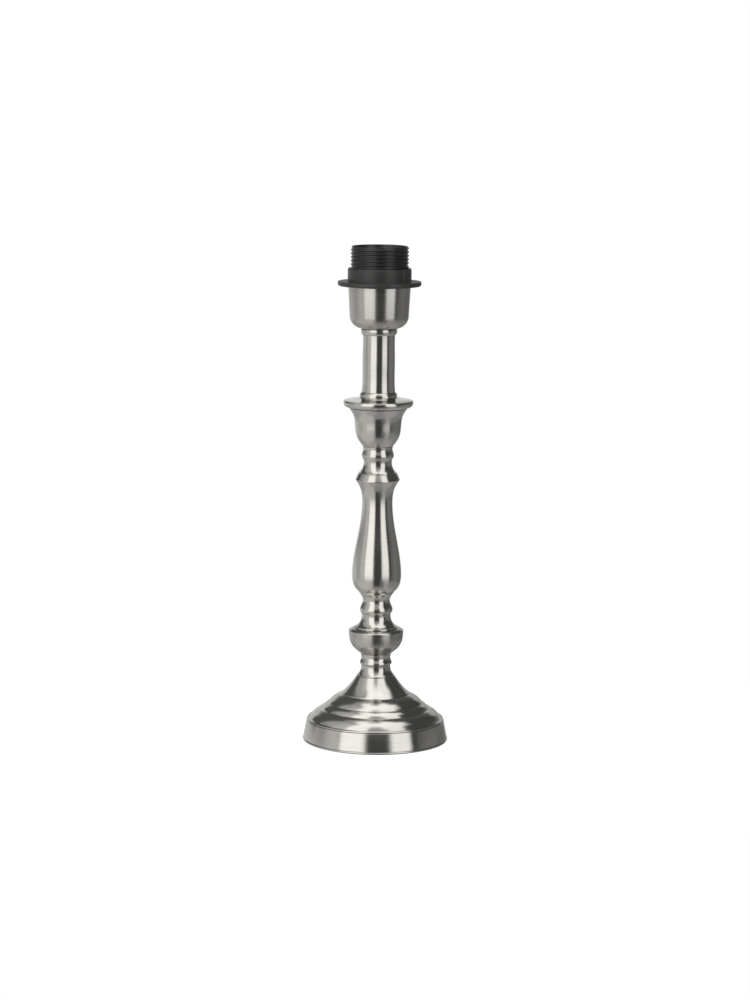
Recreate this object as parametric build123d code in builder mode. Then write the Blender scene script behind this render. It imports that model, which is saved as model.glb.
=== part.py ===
from build123d import *
import math
import os

# A candlestick table lamp: spun and turned metal pieces are threaded on one hollow rod and
# clamped between a nut under the base and a nut inside the metal cup of the lampholder.
# Millimetres, +Z up. The origin is the middle of the underside, where the lamp stands.

# ------------------------------------------------------------------ fits and clearances
rod_clearance = 0.2          # radial, between the rod and every hole on it
slip_clearance = 0.1         # radial, where one turned piece is centred in another
sleeve_clearance = 0.2       # radial, between lampholder pieces that are stacked in a bore
ring_clearance = 0.15        # radial, between the shade ring's bore and the thread's crests

# ------------------------------------------------------------------ threaded rod, nuts and washers
rod_diameter = 10.0
rod_bore = 7.6
rod_end_chamfer = 0.5
rod_nut_flats = 14.0
rod_nut_height = 3.2
rod_nut_chamfer = 0.5
rod_below_nut = 1.0
base_washer_diameter = 26.0
base_washer_thickness = 1.5
lock_washer_diameter = 16.0
lock_washer_thickness = 0.8
lock_washer_gap = 1.2
cup_washer_diameter = 20.0
cup_washer_thickness = 1.2
rod_bush_flange_diameter = 11.4
rod_bush_flange_thickness = 1.0
rod_bush_length = 7.0
rod_bush_wall = 0.7

# ------------------------------------------------------------------ base
base_radius = 50.8
base_height = 45.8
base_wall = 0.9
base_hem_radius = 0.75
base_hem_lift = 0.3
skirt_lean = 2.7              # how far the skirt leans in, from the base's radius to its top
skirt_corner_radius = 1.2
base_lip_height = 15.6
base_lip_width = 2.6
wide_ring_radius = 36.7
wide_ring_height = 22.4
wide_ring_ledge = 1.0
wide_ring_bulge = 1.05
middle_ring_radius = 32.6
middle_ring_height = 26.4
middle_ring_ledge = 0.3
middle_ring_bulge = 0.35
bell_radius = 23.2
bell_foot_height = 33.0
bell_edge_height = 0.5
top_ring_bulge = 0.9
bell_middle_radius = 16.8
bell_middle_height = 40.4
base_top_radius = 13.1
pad_thickness = 2.0
pad_edge_gap = 0.6
weight_edge_gap = 1.0
weight_chamfer = 0.4
weight_recess_radius = 15.5
weight_recess_depth = 20.0
weight_hub_radius = 24.0
weight_roof = 4.5
cord_channel_width = 9.0
cord_channel_depth = 10.2

# ------------------------------------------------------------------ cord grommet in the rear
cord_bore = 6.4
grommet_barrel_diameter = 8.8
grommet_flange_diameter = 11.0
grommet_flange_thickness = 1.3
grommet_flange_fillet = 0.5
grommet_height = 8.3
grommet_inner_length = 1.8
grommet_snap_height = 0.45
grommet_snap_length = 0.8

# ------------------------------------------------------------------ turned spools
base_spool_height = 15.6
base_spool_foot_radius = 12.5
base_spool_foot_lip = 0.3
base_spool_waist_radius = 10.4
base_spool_waist_height = 4.7
base_spool_crease_radius = 10.4
base_spool_crease_height = 7.7
base_spool_bead_radius = 11.2
base_spool_bead_height = 8.6
base_spool_neck_radius = 10.35
base_spool_neck_drop = 3.8   # how far the neck is below the top
base_spool_top_radius = 10.75
base_spool_top_lip = 0.3

lower_spool_height = 26.4
lower_spool_foot_radius = 14.6
lower_spool_foot_lip = 0.9
lower_spool_waist_radius = 10.0
lower_spool_waist_height = 8.2
lower_spool_crease_radius = 10.2
lower_spool_crease_height = 10.4
lower_spool_bead_radius = 11.35
lower_spool_bead_height = 12.9
lower_spool_neck_radius = 9.4
lower_spool_neck_drop = 6.8
lower_spool_top_radius = 12.2
lower_spool_top_lip = 1.8

upper_spool_height = 18.8
upper_spool_foot_radius = 13.1
upper_spool_foot_lip = 0.4
upper_spool_waist_radius = 9.8
upper_spool_waist_height = 6.9
upper_spool_crease_radius = 10.0
upper_spool_crease_height = 9.6
upper_spool_bead_radius = 11.15
upper_spool_bead_height = 12.0
upper_spool_neck_radius = 10.2
upper_spool_neck_drop = 1.8
upper_spool_top_radius = 10.45
upper_spool_top_lip = 0.3

# ------------------------------------------------------------------ knop, baluster, candle cup and pan
casting_wall = 1.6

knop_height = 17.8
knop_foot_radius = 10.7
knop_side_radius = 17.45
knop_side_height = 6.8
knop_radius = 19.1
knop_shoulder_height = 1.4
knop_edge_height = 0.6
knop_shoulder_bulge = 0.33
knop_seat_radius = 14.3

baluster_height = 82.8
baluster_foot_radius = 12.9
baluster_hip_radius = 15.0
baluster_hip_height = 2.5
baluster_belly_radius = 17.05
baluster_belly_height = 14.4
baluster_taper_radius = 13.25
baluster_taper_height = 39.5
baluster_waist_radius = 10.55
baluster_waist_height = 60.9
baluster_flare_radius = 12.35
baluster_flare_drop = 5.1      # how far the flare is below the ridge
baluster_ridge_radius = 15.4
baluster_ridge_edge = 0.3
baluster_cone_height = 4.3
baluster_top_radius = 13.45

cup_height = 27.1
cup_foot_radius = 10.3
cup_bowl_radius = 14.1
cup_bowl_height = 5.3
cup_side_radius = 15.45
cup_side_height = 9.4
cup_flare_radius = 17.2
cup_flare_drop = 5.7          # how far the flare is below the rim
cup_rim_radius = 20.6

pan_thickness = 4.9
pan_radius = 24.15
pan_edge_height = 2.5
pan_top_inset = 1.85           # how far the top's flat ends inside the edge
pan_under_inset = 2.35
pan_recess_depth = 3.4

# ------------------------------------------------------------------ candle tube, foot ring and collar
tube_length = 39.6
tube_radius = 11.2
tube_wall = 0.9
tube_foot_flare = 0.35
tube_foot_height = 5.5
tube_neck_waist = 0.18
tube_neck_drop = 4.1          # how far the neck is below the tube's top
tube_top_inset = 0.1
tube_spigot_length = 4.0
foot_hub_inset = 0.1
foot_hub_height = 1.9
foot_ring_height = 3.9
foot_ring_edge = 0.25         # what the ring's top shows outside the tube
foot_ring_under_edge = 0.1
foot_ring_bulge = 0.95
foot_ring_bulge_height = 1.7
collar_height = 4.3
collar_edge = 0.4             # what the collar's underside shows outside the tube
collar_bulge = 0.95
collar_bulge_height = 2.4
collar_top_inset = 0.25

# ------------------------------------------------------------------ metal cup of the lampholder
holder_cup_height = 29.2
holder_cup_gap = 0.35         # between the side's foot and the sleeve in it
holder_cup_corner_radius = 8.7
holder_cup_flare = 1.1
holder_cup_wall = 0.8

# ------------------------------------------------------------------ lampholder for a lamp with an E27 cap
cap_gap = 1.2                 # between the lampholder's lower half and the metal cup
cap_corner_radius = 4.0
cap_shoulder_height = 8.9
cap_spigot_height = 3.6
cap_floor = 3.4
cap_wall = 1.8
cap_boss_radius = 8.6
cap_boss_height = 3.3
rod_above_boss = 0.4
set_screw_diameter = 3.0
set_screw_slot = 0.6
set_screw_slot_depth = 1.0
sleeve_length = 42.3
sleeve_wall = 2.05
sleeve_thread_radius = 19.95
sleeve_thread_depth = 0.7
sleeve_thread_pitch = 2.5
sleeve_thread_crest = 0.6
sleeve_thread_base = 2.1
sleeve_thread_root = 0.3
sleeve_thread_start = 6.0
sleeve_lead_in = 2.9
sleeve_ledge_width = 1.0
sleeve_ledge_height = 1.6
sleeve_mouth_radius = 18.5
sleeve_rim_round = 0.35
carrier_floor = 4.0
carrier_height = 27.7
carrier_bore_radius = 14.0
carrier_mouth_step = 0.5
carrier_mouth_depth = 4.0
carrier_edge = 0.5
shell_gap = 0.3               # between the screw shell and the carrier's wall
shell_wall = 0.4
shell_height = 19.4
shell_flange_inner_radius = 8.6
lamp_thread_pitch = 3.629
lamp_thread_depth = 1.05
lamp_thread_crest = 0.8
lamp_thread_base = 2.6
lamp_thread_root = 0.25
lamp_thread_start = 3.4
lamp_thread_turns = 3.8

# ------------------------------------------------------------------ contacts and terminals
contact_thickness = 0.4
contact_width = 4.0
contact_root_gap = 0.7        # between the contact's root and the screw shell's flange
contact_root_length = 3.5
contact_bend_gap = 0.3
contact_rise = 2.5
contact_run = 4.9
contact_tip_run = 2.2
contact_tip_drop = 0.6
terminal_length = 9.5
terminal_width = 6.0
terminal_height = 5.0
terminal_gap = 0.9            # between a terminal's outer end and the spigot round it
terminal_wire_hole = 2.4
terminal_screw_offset = 1.85  # from the terminal's middle, outwards
terminal_screw_diameter = 3.0
terminal_screw_head_diameter = 4.4
terminal_screw_head_height = 1.3
terminal_screw_depth = 2.6
terminal_screw_slot = 0.7
terminal_screw_slot_depth = 0.6
rivet_diameter = 2.4
rivet_head_diameter = 3.2
rivet_head_height = 0.6
contact_rivet_inset = 1.7

# ------------------------------------------------------------------ shade ring
ring_flange_width = 8.6
ring_flange_thickness = 2.8
ring_flange_fillet = 0.6
ring_collar_height = 9.4
ring_collar_wall = 1.95
ring_recess_depth = 0.65
ring_recess_angle = 88.0
ring_turn = 5.5
ring_top_chamfer = 0.4

# ------------------------------------------------------------------ radii that follow from those
skirt_top_radius = base_radius - skirt_lean
base_lip_inner_radius = skirt_top_radius - base_lip_width
tube_foot_radius = tube_radius + tube_foot_flare
tube_neck_radius = tube_radius - tube_neck_waist
tube_top_radius = tube_radius - tube_top_inset
tube_bore_radius = tube_radius - tube_wall
foot_ring_top_radius = tube_foot_radius + foot_ring_edge
foot_ring_under_radius = foot_ring_top_radius + foot_ring_under_edge
foot_ring_radius = foot_ring_under_radius + foot_ring_bulge
foot_hub_radius = tube_radius - foot_hub_inset
collar_under_radius = tube_top_radius + collar_edge
collar_radius = collar_under_radius + collar_bulge
collar_top_radius = collar_radius - collar_top_inset
pan_top_radius = pan_radius - pan_top_inset
pan_under_radius = pan_radius - pan_under_inset
sleeve_root_radius = sleeve_thread_radius - sleeve_thread_depth
sleeve_bore_radius = sleeve_root_radius - sleeve_wall
holder_cup_side_radius = sleeve_root_radius + holder_cup_gap + holder_cup_wall
holder_cup_rim_radius = holder_cup_side_radius + holder_cup_flare
cap_radius = holder_cup_side_radius - holder_cup_wall - cap_gap
carrier_mouth_radius = carrier_bore_radius + carrier_mouth_step
shell_outer_radius = carrier_bore_radius - shell_gap
shell_inner_radius = shell_outer_radius - shell_wall
shell_rivet_place = (shell_flange_inner_radius + shell_inner_radius) / 2
contact_root_start = contact_root_gap - shell_flange_inner_radius
contact_rivet_place = contact_root_start + contact_rivet_inset
ring_bore = sleeve_thread_radius + ring_clearance
ring_flange_radius = ring_bore + ring_flange_width
ring_grip_radius = ring_bore + ring_collar_wall
ring_recess_radius = ring_grip_radius - ring_recess_depth

# ------------------------------------------------------------------ heights of the stack, from the floor up
rod_radius = rod_diameter / 2
rod_hole = rod_radius + rod_clearance
base_spool_foot = base_height
knop_foot = base_spool_foot + base_spool_height
lower_spool_foot = knop_foot + knop_height
baluster_foot = lower_spool_foot + lower_spool_height
upper_spool_foot = baluster_foot + baluster_height
cup_foot = upper_spool_foot + upper_spool_height
pan_foot = cup_foot + cup_height
foot_ring_foot = pan_foot + pan_thickness
tube_foot = foot_ring_foot + foot_hub_height + foot_ring_height
collar_foot = tube_foot + tube_length
holder_cup_foot = collar_foot + collar_height
holder_cup_top = holder_cup_foot + holder_cup_height
cup_washer_foot = holder_cup_foot + holder_cup_wall
cup_nut_foot = cup_washer_foot + cup_washer_thickness
cap_foot = cup_nut_foot + rod_nut_height
cap_shoulder = cap_foot + cap_shoulder_height
carrier_foot = cap_shoulder + cap_spigot_height
carrier_deck = carrier_foot + carrier_floor
carrier_top = carrier_foot + carrier_height
sleeve_top = cap_shoulder + sleeve_length
weight_top = base_lip_height - base_wall
recess_ceiling = pad_thickness + weight_recess_depth
base_washer_foot = recess_ceiling - base_washer_thickness
lock_washer_foot = base_washer_foot - lock_washer_thickness
base_nut_foot = lock_washer_foot - rod_nut_height
rod_foot = base_nut_foot - rod_below_nut
rod_top = cap_foot + cap_floor + cap_boss_height + rod_above_boss

os.makedirs("parts", exist_ok=True)


def keep(part, name):
    """Label a finished piece and write it as parts/NAME.step."""
    part.label = name
    export_step(part, "parts/" + name + ".step")


def cut_rod_hole(low, high):
    """Take the hole for the rod out of the section being drawn, from the axis outwards."""
    with Locations((0, low)):
        Rectangle(rod_hole, high - low, align=(Align.MIN, Align.MIN), mode=Mode.SUBTRACT)


def ring_prism(outer_radius, inner_radius, low, height):
    """A flat ring with a round hole, standing on the level low."""
    with BuildSketch(Plane.XY.offset(low)) as flat_ring:
        Circle(outer_radius)
        Circle(inner_radius, mode=Mode.SUBTRACT)
    extrude(flat_ring.sketch, amount=height)


# ================================================================== base
# Spun shell: a skirt, a flat lip, three swelling rings and a bell that carries the stem.
# Its section is the outer line, thickened inwards by the sheet, with a rolled hem below.
skirt_foot = base_hem_lift + 2 * base_hem_radius
with BuildPart() as base_shell:
    with BuildSketch(Plane.XZ) as base_shell_section:
        with BuildLine():
            skirt = Line((base_radius - base_hem_radius / 2, skirt_foot),
                         (skirt_top_radius, base_lip_height - skirt_corner_radius))
            corner = RadiusArc(skirt @ 1, (skirt_top_radius - skirt_corner_radius, base_lip_height),
                               -skirt_corner_radius)
            Line(corner @ 1, (base_lip_inner_radius, base_lip_height))
            wide_ring = SagittaArc((base_lip_inner_radius, base_lip_height),
                                   (wide_ring_radius + wide_ring_ledge, wide_ring_height),
                                   -wide_ring_bulge)
            Line(wide_ring @ 1, (wide_ring_radius, wide_ring_height))
            middle_ring = SagittaArc((wide_ring_radius, wide_ring_height),
                                     (middle_ring_radius + middle_ring_ledge, middle_ring_height),
                                     -middle_ring_bulge)
            Line(middle_ring @ 1, (middle_ring_radius, middle_ring_height))
            top_ring = SagittaArc((middle_ring_radius, middle_ring_height),
                                  (bell_radius, bell_foot_height), -top_ring_bulge)
            bell_edge = Line(top_ring @ 1, (bell_radius, bell_foot_height + bell_edge_height))
            bell = ThreePointArc(bell_edge @ 1, (bell_middle_radius, bell_middle_height),
                                 (base_top_radius, base_height))
            Line(bell @ 1, (rod_hole, base_height))
            offset(amount=base_wall, side=Side.LEFT)
        make_face()
        with Locations((base_radius - base_hem_radius, base_hem_lift + base_hem_radius)):
            Circle(base_hem_radius)
    revolve(axis=Axis.Z)
    # the hole for the cord grommet, in the rear of the skirt
    with BuildSketch(Plane.XZ.offset(-base_radius)):
        with Locations((0, grommet_height)):
            Circle(grommet_barrel_diameter / 2 + slip_clearance)
    extrude(amount=base_radius - weight_recess_radius, mode=Mode.SUBTRACT)
keep(base_shell.part, "base_shell")


def skirt_radius(height):
    """Outer radius of the skirt at a height above the floor."""
    share = (height - skirt_foot) / (base_lip_height - skirt_corner_radius - skirt_foot)
    foot_radius = base_radius - base_hem_radius / 2
    return foot_radius + (skirt_top_radius - foot_radius) * share


# Cast iron weight: clamped up against the underside of the shell's flat lip. A recess below
# its raised hub holds the nut, and leaves room for the cord to turn up into the rod. A channel
# leads the cord there from the grommet.
weight_radius = skirt_top_radius - base_wall - weight_edge_gap
with BuildPart() as base_weight:
    ring_prism(weight_radius, rod_hole, pad_thickness, weight_top - pad_thickness)
    chamfer(base_weight.edges().filter_by(GeomType.CIRCLE).sort_by(SortBy.RADIUS)[-2:],
            length=weight_chamfer)
    ring_prism(weight_hub_radius, rod_hole, weight_top, recess_ceiling + weight_roof - weight_top)
    fillet(base_weight.edges().filter_by(GeomType.CIRCLE).group_by(Axis.Z)[-1].sort_by(
        SortBy.RADIUS)[-1], radius=weight_roof / 2)
    with BuildSketch(Plane.XY.offset(pad_thickness)):
        Circle(weight_recess_radius)
    extrude(amount=weight_recess_depth, mode=Mode.SUBTRACT)
    with BuildSketch(Plane.XY.offset(pad_thickness)):
        with Locations((0, weight_radius / 2)):
            Rectangle(cord_channel_width, weight_radius + weight_edge_gap)
    extrude(amount=cord_channel_depth, mode=Mode.SUBTRACT)
keep(base_weight.part, "base_weight")

# Felt pad glued under the weight; the lamp stands on it.
with BuildPart() as base_pad:
    with BuildSketch(Plane.XY):
        Circle(base_radius - 2 * base_hem_radius - pad_edge_gap)
    extrude(amount=pad_thickness)
keep(base_pad.part, "base_pad")

# ------------------------------------------------------------------ fasteners under the base
with BuildPart() as base_washer:
    ring_prism(base_washer_diameter / 2, rod_hole, base_washer_foot, base_washer_thickness)
keep(base_washer.part, "base_washer")

with BuildPart() as base_lock_washer:
    ring_prism(lock_washer_diameter / 2, rod_hole, lock_washer_foot, lock_washer_thickness)
    with BuildSketch(Plane.XY.offset(lock_washer_foot)):
        with Locations((lock_washer_diameter / 2, 0)):
            Rectangle(lock_washer_diameter, lock_washer_gap)
    extrude(amount=lock_washer_thickness, mode=Mode.SUBTRACT)
keep(base_lock_washer.part, "base_lock_washer")

# Two equal thin hexagon nuts: one under the base, one inside the metal cup. The corners of
# the hexagon are turned off by a cone at each end.
nut_corner_radius = rod_nut_flats / math.sqrt(3)
nut_shoulder_radius = nut_corner_radius - rod_nut_chamfer * math.sqrt(3)
with BuildPart() as rod_nuts:
    for nut_foot in (base_nut_foot, cup_nut_foot):
        with BuildSketch(Plane.XY.offset(nut_foot)):
            RegularPolygon(rod_nut_flats / 2, 6, major_radius=False)
            Circle(rod_hole, mode=Mode.SUBTRACT)
        extrude(amount=rod_nut_height)
    with BuildSketch(Plane.XZ):
        for nut_foot in (base_nut_foot, cup_nut_foot):
            nut_top = nut_foot + rod_nut_height
            with BuildLine():
                Polyline((0, nut_foot), (nut_shoulder_radius, nut_foot),
                         (nut_corner_radius, nut_foot + rod_nut_chamfer),
                         (nut_corner_radius, nut_top - rod_nut_chamfer),
                         (nut_shoulder_radius, nut_top), (0, nut_top), close=True)
            make_face()
    revolve(axis=Axis.Z, mode=Mode.INTERSECT)
keep(rod_nuts.part, "rod_nuts")

with BuildPart() as cup_washer:
    ring_prism(cup_washer_diameter / 2, rod_hole, cup_washer_foot, cup_washer_thickness)
keep(cup_washer.part, "cup_washer")

# Hollow rod through the whole lamp, and the bush that guards the cord at its lower end.
with BuildPart() as threaded_rod:
    ring_prism(rod_radius, rod_bore / 2, rod_foot, rod_top - rod_foot)
    chamfer(threaded_rod.edges().filter_by(GeomType.CIRCLE).group_by(SortBy.RADIUS)[-1],
            length=rod_end_chamfer)
keep(threaded_rod.part, "threaded_rod")

with BuildPart() as rod_bush:
    bush_radius = rod_bore / 2 - slip_clearance
    ring_prism(rod_bush_flange_diameter / 2, bush_radius - rod_bush_wall,
               rod_foot - rod_bush_flange_thickness, rod_bush_flange_thickness)
    ring_prism(bush_radius, bush_radius - rod_bush_wall, rod_foot, rod_bush_length)
keep(rod_bush.part, "rod_bush")

# Grommet: a flanged bush snapped into the rear of the skirt. Its flange is hollowed to lie
# on the skirt, so the skirt's own cone is taken from it.
grommet_reach = skirt_radius(grommet_height) + grommet_flange_thickness
grommet_inner = skirt_radius(grommet_height) - base_wall - grommet_inner_length
with BuildPart() as skirt_cone:
    with BuildSketch(Plane.XZ):
        with BuildLine():
            Polyline((0, skirt_foot), (skirt_radius(skirt_foot), skirt_foot),
                     (skirt_radius(base_lip_height), base_lip_height), (0, base_lip_height),
                     close=True)
        make_face()
    revolve(axis=Axis.Z)
with BuildPart() as cord_grommet:
    with BuildSketch(Plane.XZ.offset(-grommet_reach)):
        with Locations((0, grommet_height)):
            Circle(grommet_flange_diameter / 2)
    extrude(amount=grommet_flange_thickness + grommet_inner_length)
    fillet(cord_grommet.edges().sort_by(Axis.Y)[-1:], radius=grommet_flange_fillet)
    add(skirt_cone.part, mode=Mode.SUBTRACT)
    with BuildSketch(Plane.XZ.offset(-grommet_inner)):
        with Locations((0, grommet_height)):
            Circle(grommet_barrel_diameter / 2)
    extrude(amount=grommet_inner - grommet_reach + grommet_flange_fillet)
    with BuildSketch(Plane.XZ.offset(-grommet_inner)):
        with Locations((0, grommet_height)):
            Circle(grommet_barrel_diameter / 2 + grommet_snap_height)
    extrude(amount=-grommet_snap_length)
    with BuildSketch(Plane.XZ.offset(-grommet_inner)):
        with Locations((0, grommet_height)):
            Circle(cord_bore / 2)
    extrude(amount=grommet_inner - grommet_reach, mode=Mode.SUBTRACT)
keep(cord_grommet.part, "cord_grommet")


# ================================================================== turned spools
def spool_line(foot, height, foot_radius, foot_lip, waist, crease, bead, neck, top_radius, top_lip):
    """Outline of a spool: a foot lip, a cove through the waist to a crease, then a bead that
    flows into a neck and out to the top lip. Pairs are a radius and a height above the foot."""
    top = foot + height
    lip_edge = (foot_radius, foot + foot_lip)
    at_waist, at_crease, at_bead, at_neck = [
        (radius, foot + rise) for radius, rise in (waist, crease, bead, neck)]
    Polyline((rod_hole, top), (rod_hole, foot), (foot_radius, foot), lip_edge)
    ThreePointArc(lip_edge, at_waist, at_crease)
    flow = Spline(at_crease, at_bead, at_neck, (top_radius, top - top_lip))
    Polyline(flow @ 1, (top_radius, top), (rod_hole, top))


with BuildPart() as base_spool:
    with BuildSketch(Plane.XZ):
        with BuildLine():
            spool_line(base_spool_foot, base_spool_height,
                       base_spool_foot_radius, base_spool_foot_lip,
                       (base_spool_waist_radius, base_spool_waist_height),
                       (base_spool_crease_radius, base_spool_crease_height),
                       (base_spool_bead_radius, base_spool_bead_height),
                       (base_spool_neck_radius, base_spool_height - base_spool_neck_drop),
                       base_spool_top_radius, base_spool_top_lip)
        make_face()
    revolve(axis=Axis.Z)
keep(base_spool.part, "base_spool")

with BuildPart() as lower_spool:
    with BuildSketch(Plane.XZ):
        with BuildLine():
            spool_line(lower_spool_foot, lower_spool_height,
                       lower_spool_foot_radius, lower_spool_foot_lip,
                       (lower_spool_waist_radius, lower_spool_waist_height),
                       (lower_spool_crease_radius, lower_spool_crease_height),
                       (lower_spool_bead_radius, lower_spool_bead_height),
                       (lower_spool_neck_radius, lower_spool_height - lower_spool_neck_drop),
                       lower_spool_top_radius, lower_spool_top_lip)
        make_face()
    revolve(axis=Axis.Z)
keep(lower_spool.part, "lower_spool")

with BuildPart() as upper_spool:
    with BuildSketch(Plane.XZ):
        with BuildLine():
            spool_line(upper_spool_foot, upper_spool_height,
                       upper_spool_foot_radius, upper_spool_foot_lip,
                       (upper_spool_waist_radius, upper_spool_waist_height),
                       (upper_spool_crease_radius, upper_spool_crease_height),
                       (upper_spool_bead_radius, upper_spool_bead_height),
                       (upper_spool_neck_radius, upper_spool_height - upper_spool_neck_drop),
                       upper_spool_top_radius, upper_spool_top_lip)
        make_face()
    revolve(axis=Axis.Z)
keep(upper_spool.part, "upper_spool")

# ================================================================== hollow castings
def inner_outline(outline):
    """The cavity's side for a casting's outer side: the same points moved in by the wall,
    starting on top of the casting's floor."""
    (foot_radius, foot), *others = outline
    return [(foot_radius, foot + casting_wall)] + [(r - casting_wall, z) for r, z in others]


# Bowl-shaped knop with a low shoulder under the lower spool.
knop_edge_top = lower_spool_foot - knop_shoulder_height
knop_side = [(knop_foot_radius, knop_foot), (knop_side_radius, knop_foot + knop_side_height),
             (knop_radius, knop_edge_top - knop_edge_height)]
with BuildPart() as knop_bowl:
    with BuildSketch(Plane.XZ):
        with BuildLine():
            bowl = Spline(*knop_side)
            edge = Line(bowl @ 1, (knop_radius, knop_edge_top))
            shoulder = SagittaArc(edge @ 1, (knop_seat_radius, lower_spool_foot),
                                  -knop_shoulder_bulge)
            Polyline(shoulder @ 1, (0, lower_spool_foot), (0, knop_foot), bowl @ 0)
        make_face()
        with BuildLine():
            cavity = Spline(*inner_outline(knop_side))
            Polyline(cavity @ 1, (knop_seat_radius, lower_spool_foot - casting_wall),
                     (0, lower_spool_foot - casting_wall), (0, knop_foot + casting_wall),
                     cavity @ 0)
        make_face(mode=Mode.SUBTRACT)
        cut_rod_hole(knop_foot, lower_spool_foot)
    revolve(axis=Axis.Z)
keep(knop_bowl.part, "knop_bowl")

# Tall baluster: a full belly, a long taper, a slim waist and a sharp ridge under its top.
ridge_top = upper_spool_foot - baluster_cone_height
ridge_foot = ridge_top - baluster_ridge_edge
baluster_side = [(baluster_foot_radius, baluster_foot),
                 (baluster_hip_radius, baluster_foot + baluster_hip_height),
                 (baluster_belly_radius, baluster_foot + baluster_belly_height),
                 (baluster_taper_radius, baluster_foot + baluster_taper_height),
                 (baluster_waist_radius, baluster_foot + baluster_waist_height),
                 (baluster_flare_radius, ridge_foot - baluster_flare_drop),
                 (baluster_ridge_radius, ridge_foot)]
with BuildPart() as baluster:
    with BuildSketch(Plane.XZ):
        with BuildLine():
            side = Spline(*baluster_side)
            Polyline(side @ 1, (baluster_ridge_radius, ridge_top),
                     (baluster_top_radius, upper_spool_foot), (0, upper_spool_foot),
                     (0, baluster_foot), side @ 0)
        make_face()
        with BuildLine():
            cavity = Spline(*inner_outline(baluster_side))
            Polyline(cavity @ 1, (baluster_top_radius - casting_wall / 2,
                                  upper_spool_foot - casting_wall),
                     (0, upper_spool_foot - casting_wall), (0, baluster_foot + casting_wall),
                     cavity @ 0)
        make_face(mode=Mode.SUBTRACT)
        cut_rod_hole(baluster_foot, upper_spool_foot)
    revolve(axis=Axis.Z)
keep(baluster.part, "baluster")

# Bell-shaped candle cup, open upwards under the pan.
cup_outline = [(cup_foot_radius, cup_foot), (cup_bowl_radius, cup_foot + cup_bowl_height),
               (cup_side_radius, cup_foot + cup_side_height),
               (cup_flare_radius, pan_foot - cup_flare_drop), (cup_rim_radius, pan_foot)]
with BuildPart() as candle_cup:
    with BuildSketch(Plane.XZ):
        with BuildLine():
            cup_side = Spline(*cup_outline)
            Polyline(cup_side @ 1, (0, pan_foot), (0, cup_foot), cup_side @ 0)
        make_face()
        with BuildLine():
            cavity = Spline(*inner_outline(cup_outline))
            Polyline(cavity @ 1, (0, pan_foot), (0, cup_foot + casting_wall), cavity @ 0)
        make_face(mode=Mode.SUBTRACT)
        cut_rod_hole(cup_foot, pan_foot)
    revolve(axis=Axis.Z)
keep(candle_cup.part, "candle_cup")

# Drip pan: a plate with a rounded edge, relieved below inside the rim of the cup.
with BuildPart() as drip_pan:
    with BuildSketch(Plane.XZ):
        with BuildLine():
            pan_edge = ThreePointArc((pan_under_radius, pan_foot),
                                     (pan_radius, pan_foot + pan_edge_height),
                                     (pan_top_radius, foot_ring_foot))
            Polyline(pan_edge @ 1, (rod_hole, foot_ring_foot),
                     (rod_hole, pan_foot + pan_recess_depth),
                     (cup_rim_radius - casting_wall, pan_foot + pan_recess_depth),
                     (cup_rim_radius - casting_wall, pan_foot), pan_edge @ 0)
        make_face()
    revolve(axis=Axis.Z)
keep(drip_pan.part, "drip_pan")

# ================================================================== candle tube
spigot_radius = tube_bore_radius - slip_clearance
with BuildPart() as tube_foot_ring:
    with BuildSketch(Plane.XZ):
        ring_foot = foot_ring_foot + foot_hub_height
        with BuildLine():
            foot_bulge = ThreePointArc((foot_ring_under_radius, ring_foot),
                                       (foot_ring_radius, ring_foot + foot_ring_bulge_height),
                                       (foot_ring_top_radius, tube_foot))
            Polyline(foot_bulge @ 1, (spigot_radius, tube_foot),
                     (spigot_radius, tube_foot + tube_spigot_length),
                     (rod_hole, tube_foot + tube_spigot_length), (rod_hole, foot_ring_foot),
                     (foot_hub_radius, foot_ring_foot), (foot_hub_radius, ring_foot),
                     foot_bulge @ 0)
        make_face()
    revolve(axis=Axis.Z)
keep(tube_foot_ring.part, "tube_foot_ring")

with BuildPart() as candle_tube:
    with BuildSketch(Plane.XZ):
        with BuildLine():
            tube_side = Spline((tube_foot_radius, tube_foot),
                               (tube_radius, tube_foot + tube_foot_height),
                               (tube_radius, tube_foot + tube_length / 2),
                               (tube_neck_radius, collar_foot - tube_neck_drop),
                               (tube_top_radius, collar_foot))
            Polyline(tube_side @ 1, (tube_bore_radius, collar_foot),
                     (tube_bore_radius, tube_foot), tube_side @ 0)
        make_face()
    revolve(axis=Axis.Z)
keep(candle_tube.part, "candle_tube")

with BuildPart() as tube_collar:
    with BuildSketch(Plane.XZ):
        with BuildLine():
            collar_bulge = ThreePointArc((collar_under_radius, collar_foot),
                                         (collar_radius, collar_foot + collar_bulge_height),
                                         (collar_top_radius, holder_cup_foot))
            Polyline(collar_bulge @ 1, (rod_hole, holder_cup_foot),
                     (rod_hole, collar_foot - tube_spigot_length),
                     (spigot_radius, collar_foot - tube_spigot_length),
                     (spigot_radius, collar_foot), collar_bulge @ 0)
        make_face()
    revolve(axis=Axis.Z)
keep(tube_collar.part, "tube_collar")

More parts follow.
